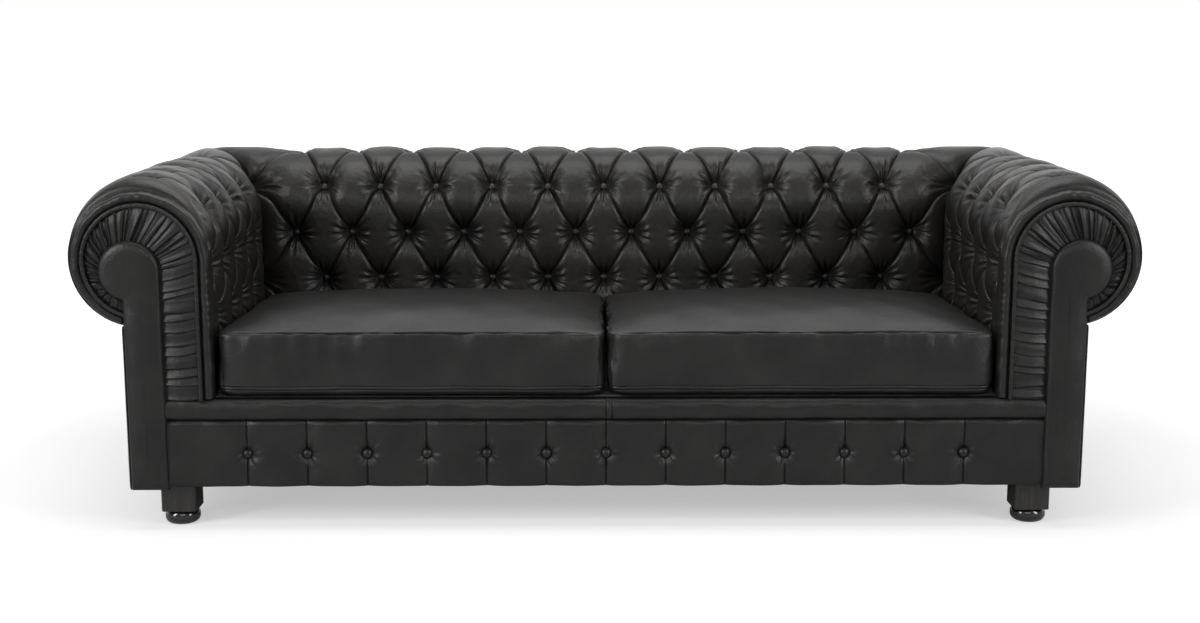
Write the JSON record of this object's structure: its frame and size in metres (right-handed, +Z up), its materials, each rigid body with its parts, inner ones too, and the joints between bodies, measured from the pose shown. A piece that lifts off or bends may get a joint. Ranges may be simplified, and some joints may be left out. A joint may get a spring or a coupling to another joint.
{
  "type": "chesterfield sofa",
  "caption": "Black leather chesterfield sofa with deep-buttoned rolled arms and back of one height, loose seat cushions, a buttoned front panel and bun feet.",
  "frame": {"origin": "on the floor, under the middle of the sofa: centre of its bounding box in plan, at the bottom of the feet", "axes": "+X along the sofa to the right as seen from the front, +Y to the back, +Z up"},
  "size_m": [2.14, 0.8999, 0.7181],
  "materials": {
    "black_leather": "soft semi-matt grain leather",
    "button_leather": "leather drawn tight over a button, slightly glossier",
    "piping_leather": "leather drawn tight over a cord",
    "gloss_black_foot": "glossy black lacquer",
    "black_foot_block": "black stained wood, satin",
    "spring_steel": "bright steel wire and sheet",
    "platform_cloth": "black woven platform cloth",
    "dust_cloth": "thin black non-woven cloth",
    "grey_felt": "grey needled felt",
    "upholstery_foam": "cream polyurethane foam",
    "hessian": "brown jute hessian on webbing",
    "plywood": "pale plywood",
    "beech_frame": "sawn beech"
  },
  "bodies": {
    "sofa_frame": {"arm_buttons": "button_leather", "back_backing": "hessian", "back_buttons": "button_leather", "back_formers": "plywood", "back_pad": "black_leather", "back_roll_core": "upholstery_foam", "back_tack_rail": "beech_frame", "back_top_rail": "beech_frame", "centre_cross_rail": "beech_frame", "corner_blocks": "beech_frame", "deck_cloth": "platform_cloth", "deck_pad": "upholstery_foam", "dust_cover": "dust_cloth", "foot_blocks": "black_foot_block", "foot_bolts": "spring_steel", "front_band": "black_leather", "front_buttons": "button_leather", "front_left_bun_foot": "gloss_black_foot", "front_lower_panel": "black_leather", "front_rail": "beech_frame", "front_right_bun_foot": "gloss_black_foot", "left_arm_backing": "hessian", "left_arm_former": "plywood", "left_arm_pad": "black_leather", "left_arm_rim": "black_leather", "left_arm_roll_core": "upholstery_foam", "left_arm_tack_rail": "beech_frame", "left_arm_top_rail": "beech_frame", "left_facing_panel": "black_leather", "left_facing_piping": "piping_leather", "left_outside_arm_panel": "black_leather", "left_pleated_border": "black_leather", "left_rear_post": "beech_frame", "left_scroll_board": "plywood", "left_side_rail": "beech_frame", "outside_back_panel": "black_leather", "rear_left_bun_foot": "gloss_black_foot", "rear_rail": "beech_frame", "rear_right_bun_foot": "gloss_black_foot", "right_arm_backing": "hessian", "right_arm_former": "plywood", "right_arm_pad": "black_leather", "right_arm_rim": "black_leather", "right_arm_roll_core": "upholstery_foam", "right_arm_tack_rail": "beech_frame", "right_arm_top_rail": "beech_frame", "right_facing_panel": "black_leather", "right_facing_piping": "piping_leather", "right_outside_arm_panel": "black_leather", "right_pleated_border": "black_leather", "right_rear_post": "beech_frame", "right_scroll_board": "plywood", "right_side_rail": "beech_frame", "seat_springs": "spring_steel", "spring_clips": "spring_steel", "spring_insulator": "grey_felt"},
    "left_seat_cushion": {"left_cushion_cover": "black_leather", "left_cushion_foam": "upholstery_foam"},
    "right_seat_cushion": {"right_cushion_cover": "black_leather", "right_cushion_foam": "upholstery_foam"}
  },
  "joints": [
    {"name": "left_cushion_lift", "type": "slide", "parent": "sofa_frame", "child": "left_seat_cushion", "axis": [0, 0, 1], "range_m": [0, 0.45]},
    {"name": "right_cushion_lift", "type": "slide", "parent": "sofa_frame", "child": "right_seat_cushion", "axis": [0, 0, 1], "range_m": [0, 0.45]}
  ]
}
